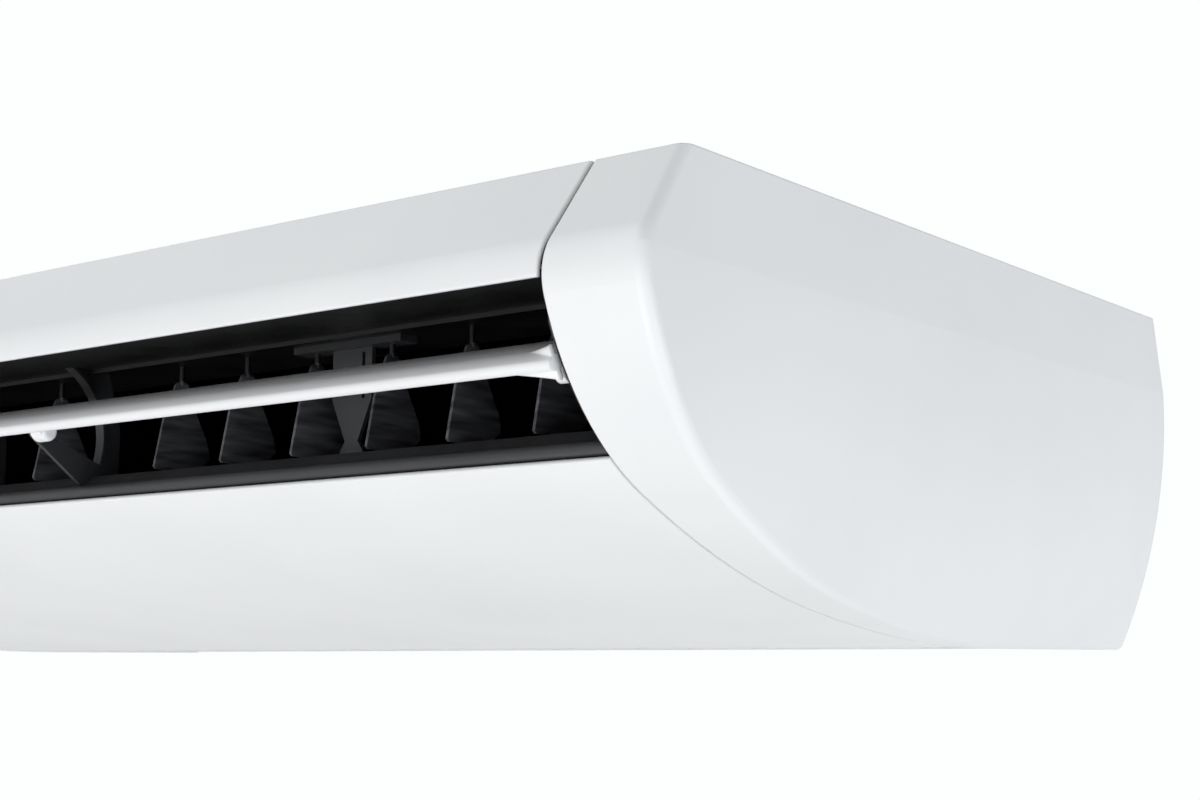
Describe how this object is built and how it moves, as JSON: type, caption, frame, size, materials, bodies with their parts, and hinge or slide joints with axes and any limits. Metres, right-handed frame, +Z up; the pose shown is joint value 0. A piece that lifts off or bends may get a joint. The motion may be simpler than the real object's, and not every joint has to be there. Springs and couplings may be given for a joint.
{
  "type": "under-ceiling air conditioner indoor unit",
  "caption": "Under-ceiling air conditioner indoor unit with curved white casing, domed end covers, swinging louver, upright air vanes and hinged intake grilles.",
  "frame": {"origin": "middle of the four hanger holes, in the ceiling plane that the top plate rests against", "axes": "+X along the unit towards the control box end, -Y towards the air outlet, +Z up to the ceiling"},
  "size_m": [1.08, 0.6265, 0.235],
  "materials": {
    "white_abs": "satin moulded plastic",
    "black_plastic": "matt moulded plastic",
    "charcoal_plastic": "satin moulded plastic",
    "grey_plastic": "matt moulded plastic",
    "black_sheet": "steel sheet, painted black",
    "galvanised_sheet": "zinc-coated steel sheet",
    "coil_aluminium": "dark coated fin stock",
    "copper_pipe": "drawn tube and machined unions",
    "motor_can": "painted steel can",
    "step_motor_can": "plated steel can",
    "shaft_steel": "ground steel",
    "pan_plastic": "foam-backed tray",
    "filter_net": "woven net in a moulded frame"
  },
  "bodies": {
    "casing": {"end_cover_right": "white_abs", "end_cover_left": "white_abs", "upper_front_panel": "white_abs", "lower_front_panel": "white_abs", "end_plate_right": "black_sheet", "end_plate_left": "black_sheet", "outlet_cheek_right": "black_plastic", "outlet_cheek_left": "black_plastic", "top_plate": "galvanised_sheet", "rear_panel": "galvanised_sheet", "hanger_bracket_right": "galvanised_sheet", "hanger_bracket_left": "galvanised_sheet", "outlet_upper_guide": "black_plastic", "outlet_lower_guide": "grey_plastic", "louver_stay_right": "charcoal_plastic", "louver_stay_left": "charcoal_plastic", "vane_motor": "step_motor_can", "louver_motor": "step_motor_can", "vane_post_right": "charcoal_plastic", "vane_post_left": "charcoal_plastic", "intake_frame": "white_abs", "coil_fins": "coil_aluminium", "coil_end_plates": "galvanised_sheet", "coil_tubes": "copper_pipe", "pipe_unions": "copper_pipe", "drain_pan": "pan_plastic", "fan_deck": "galvanised_sheet", "fan_scrolls": "black_plastic", "fan_motor": "motor_can", "fan_motor_clamp": "galvanised_sheet", "control_box": "galvanised_sheet", "control_box_cover": "galvanised_sheet"},
    "louver_flap": {"louver": "white_abs"},
    "vane_01_body": {"vane_01": "charcoal_plastic"},
    "vane_02_body": {"vane_02": "charcoal_plastic"},
    "vane_03_body": {"vane_03": "charcoal_plastic"},
    "vane_04_body": {"vane_04": "charcoal_plastic"},
    "vane_05_body": {"vane_05": "charcoal_plastic"},
    "vane_06_body": {"vane_06": "charcoal_plastic"},
    "vane_07_body": {"vane_07": "charcoal_plastic"},
    "vane_08_body": {"vane_08": "charcoal_plastic"},
    "vane_09_body": {"vane_09": "charcoal_plastic"},
    "vane_10_body": {"vane_10": "charcoal_plastic"},
    "vane_11_body": {"vane_11": "charcoal_plastic"},
    "vane_12_body": {"vane_12": "charcoal_plastic"},
    "vane_13_body": {"vane_13": "charcoal_plastic"},
    "link": {"vane_link_bar": "black_plastic"},
    "crank": {"vane_crank": "black_plastic"},
    "fan_rotor": {"fan_shaft": "shaft_steel", "fan_wheel_left": "black_plastic", "fan_wheel_right": "black_plastic"},
    "left_grille": {"intake_grille_left": "white_abs", "filter_left": "filter_net"},
    "left_latch_a": {"grille_latch_left_a": "white_abs"},
    "left_latch_b": {"grille_latch_left_b": "white_abs"},
    "right_grille": {"intake_grille_right": "white_abs", "filter_right": "filter_net"},
    "right_latch_a": {"grille_latch_right_a": "white_abs"},
    "right_latch_b": {"grille_latch_right_b": "white_abs"}
  },
  "joints": [
    {"name": "louver_swing", "type": "hinge", "parent": "casing", "child": "louver_flap", "pos_m": [0, -0.3055, -0.105], "axis": [1, 0, 0], "range_deg": [-35, 32]},
    {"name": "vane_swing", "type": "hinge", "parent": "casing", "child": "vane_07_body", "pos_m": [0, -0.2425, -0.1], "axis": [0, 0, 1], "range_deg": [-35, 35]},
    {"name": "vane_01_swing", "type": "hinge", "parent": "casing", "child": "vane_01_body", "pos_m": [-0.4179, -0.2425, -0.1], "axis": [0, 0, 1], "range_deg": [-40, 40]},
    {"name": "vane_02_swing", "type": "hinge", "parent": "casing", "child": "vane_02_body", "pos_m": [-0.3582, -0.2425, -0.1], "axis": [0, 0, 1], "range_deg": [-40, 40]},
    {"name": "vane_03_swing", "type": "hinge", "parent": "casing", "child": "vane_03_body", "pos_m": [-0.2985, -0.2425, -0.1], "axis": [0, 0, 1], "range_deg": [-40, 40]},
    {"name": "vane_04_swing", "type": "hinge", "parent": "casing", "child": "vane_04_body", "pos_m": [-0.2388, -0.2425, -0.1], "axis": [0, 0, 1], "range_deg": [-40, 40]},
    {"name": "vane_05_swing", "type": "hinge", "parent": "casing", "child": "vane_05_body", "pos_m": [-0.1791, -0.2425, -0.1], "axis": [0, 0, 1], "range_deg": [-40, 40]},
    {"name": "vane_06_swing", "type": "hinge", "parent": "casing", "child": "vane_06_body", "pos_m": [-0.1194, -0.2425, -0.1], "axis": [0, 0, 1], "range_deg": [-40, 40]},
    {"name": "vane_08_swing", "type": "hinge", "parent": "casing", "child": "vane_08_body", "pos_m": [0.1194, -0.2425, -0.1], "axis": [0, 0, 1], "range_deg": [-40, 40]},
    {"name": "vane_09_swing", "type": "hinge", "parent": "casing", "child": "vane_09_body", "pos_m": [0.1791, -0.2425, -0.1], "axis": [0, 0, 1], "range_deg": [-40, 40]},
    {"name": "vane_10_swing", "type": "hinge", "parent": "casing", "child": "vane_10_body", "pos_m": [0.2388, -0.2425, -0.1], "axis": [0, 0, 1], "range_deg": [-40, 40]},
    {"name": "vane_11_swing", "type": "hinge", "parent": "casing", "child": "vane_11_body", "pos_m": [0.2985, -0.2425, -0.1], "axis": [0, 0, 1], "range_deg": [-40, 40]},
    {"name": "vane_12_swing", "type": "hinge", "parent": "casing", "child": "vane_12_body", "pos_m": [0.3582, -0.2425, -0.1], "axis": [0, 0, 1], "range_deg": [-40, 40]},
    {"name": "vane_13_swing", "type": "hinge", "parent": "casing", "child": "vane_13_body", "pos_m": [0.4179, -0.2425, -0.1], "axis": [0, 0, 1], "range_deg": [-40, 40]},
    {"name": "crank_swing", "type": "hinge", "parent": "casing", "child": "crank", "pos_m": [0.32835, -0.2425, -0.055], "axis": [0, 0, 1], "range_deg": [-40, 40]},
    {"name": "link_pivot", "type": "hinge", "parent": "vane_07_body", "child": "link", "pos_m": [0, -0.2265, -0.055], "axis": [0, 0, 1], "range_deg": [-40, 40]},
    {"name": "fan_spin", "type": "hinge", "parent": "casing", "child": "fan_rotor", "pos_m": [0, 0.1695, -0.112], "axis": [1, 0, 0], "continuous": true},
    {"name": "left_grille_open", "type": "hinge", "parent": "casing", "child": "left_grille", "pos_m": [0, 0.2675, -0.229], "axis": [1, 0, 0], "range_deg": [0, 85]},
    {"name": "left_latch_a_slide", "type": "slide", "parent": "left_grille", "child": "left_latch_a", "axis": [0, -1, 0], "range_m": [0, 0.006]},
    {"name": "left_latch_b_slide", "type": "slide", "parent": "left_grille", "child": "left_latch_b", "axis": [0, -1, 0], "range_m": [0, 0.006]},
    {"name": "right_grille_open", "type": "hinge", "parent": "casing", "child": "right_grille", "pos_m": [0, 0.2675, -0.229], "axis": [1, 0, 0], "range_deg": [0, 85]},
    {"name": "right_latch_a_slide", "type": "slide", "parent": "right_grille", "child": "right_latch_a", "axis": [0, -1, 0], "range_m": [0, 0.006]},
    {"name": "right_latch_b_slide", "type": "slide", "parent": "right_grille", "child": "right_latch_b", "axis": [0, -1, 0], "range_m": [0, 0.006]}
  ],
  "couplings": [
    {"joint": "vane_01_swing", "follows": "vane_swing", "ratio": 1},
    {"joint": "vane_02_swing", "follows": "vane_swing", "ratio": 1},
    {"joint": "vane_03_swing", "follows": "vane_swing", "ratio": 1},
    {"joint": "vane_04_swing", "follows": "vane_swing", "ratio": 1},
    {"joint": "vane_05_swing", "follows": "vane_swing", "ratio": 1},
    {"joint": "vane_06_swing", "follows": "vane_swing", "ratio": 1},
    {"joint": "vane_08_swing", "follows": "vane_swing", "ratio": 1},
    {"joint": "vane_09_swing", "follows": "vane_swing", "ratio": 1},
    {"joint": "vane_10_swing", "follows": "vane_swing", "ratio": 1},
    {"joint": "vane_11_swing", "follows": "vane_swing", "ratio": 1},
    {"joint": "vane_12_swing", "follows": "vane_swing", "ratio": 1},
    {"joint": "vane_13_swing", "follows": "vane_swing", "ratio": 1},
    {"joint": "crank_swing", "follows": "vane_swing", "ratio": 1},
    {"joint": "link_pivot", "follows": "vane_swing", "ratio": -1}
  ]
}
